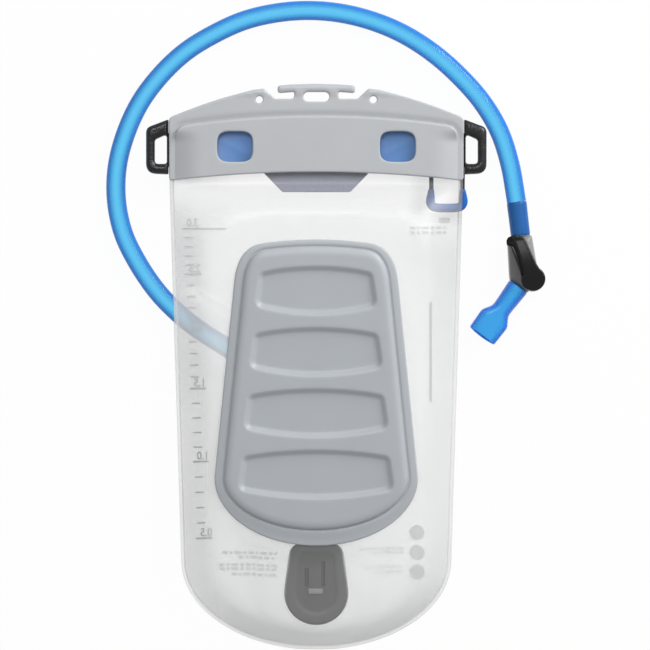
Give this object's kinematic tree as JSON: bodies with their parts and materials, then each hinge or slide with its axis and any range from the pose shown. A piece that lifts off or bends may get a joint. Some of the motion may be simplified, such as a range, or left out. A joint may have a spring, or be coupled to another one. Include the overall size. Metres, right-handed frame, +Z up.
{
  "type": "hydration bladder",
  "caption": "Soft water bag with a ribbed rear plate, a zip under a hanger cover, side pull loops, a quick-release port and a drinking hose with shut-off lever and bite valve.",
  "frame": {"origin": "middle of the bag's and cover's length and width, at the face it rests on", "axes": "+Y towards the hanger, +Z up through the rear plate, +X to the right seen from the plate's side"},
  "size_m": [0.2859, 0.4222, 0.041],
  "materials": {
    "film": "clear film with a fine frosted surface",
    "plate": "grey moulded sheet with a satin surface",
    "cover": "light grey moulded plastic with a satin surface",
    "zip": "blue moulded plastic, slightly glossy",
    "stops": "dark grey plastic",
    "loops": "black plastic with a fine grain",
    "tab": "grey moulded plastic",
    "slider": "grey moulded plastic",
    "cord": "dark braided cord",
    "grip": "blue soft rubber",
    "port": "dark grey moulded plastic",
    "latch": "blue moulded plastic",
    "steel": "drawn spring wire",
    "white": "white moulded plastic",
    "seal": "black rubber",
    "hose": "translucent blue tube with a glossy surface",
    "cuff": "dark blue rubber",
    "valve": "grey moulded plastic",
    "lever": "black plastic with a satin surface",
    "bite": "blue silicone rubber"
  },
  "bodies": {
    "bag": {"rear_film": "film", "front_film": "film", "rear_plate": "plate", "hanger_cover": "cover", "zip_tape_upper": "zip", "zip_tape_lower": "zip", "zip_rail_upper": "zip", "zip_rail_lower": "zip", "zip_end_stops": "stops", "left_pull_loop": "loops", "right_pull_loop": "loops", "front_grip_tab": "tab", "port_base": "port", "port_socket": "port", "port_cap": "port", "latch_springs": "steel", "poppet_spring": "steel", "hose_plug": "port", "plug_o_rings": "seal", "hose": "hose", "hose_cuff": "cuff", "valve_body": "valve", "bite_valve": "bite"},
    "slider": {"slider": "slider"},
    "pull": {"pull_cord": "cord", "pull_grip": "grip"},
    "lever": {"valve_lever": "lever", "valve_spool": "white", "spool_o_rings": "seal"},
    "latch": {"latch_plate": "latch"},
    "poppet": {"poppet": "white", "poppet_seal": "seal"}
  },
  "joints": [
    {"name": "zip_slide", "type": "slide", "parent": "bag", "child": "slider", "axis": [1, 0, 0], "range_m": [-0.168, 0]},
    {"name": "pull_swing", "type": "hinge", "parent": "slider", "child": "pull", "pos_m": [0.084, 0.13235, 0.00745], "axis": [1, 0, 0], "range_deg": [0, 150]},
    {"name": "lever_turn", "type": "hinge", "parent": "bag", "child": "lever", "pos_m": [0.14092, 0.05715, 0.015], "axis": [0, 0, -1], "range_deg": [0, 90]},
    {"name": "latch_press", "type": "slide", "parent": "bag", "child": "latch", "axis": [0, 0, 1], "range_m": [0, 0.0012], "stiffness_N_per_m": 400, "springref_m": -0.0005, "deforming": ["latch_springs"]},
    {"name": "poppet_push", "type": "slide", "parent": "bag", "child": "poppet", "axis": [0, 1, 0], "range_m": [-0.0015, 0], "stiffness_N_per_m": 300, "springref_m": 0.0005, "deforming": ["poppet_spring"]}
  ]
}
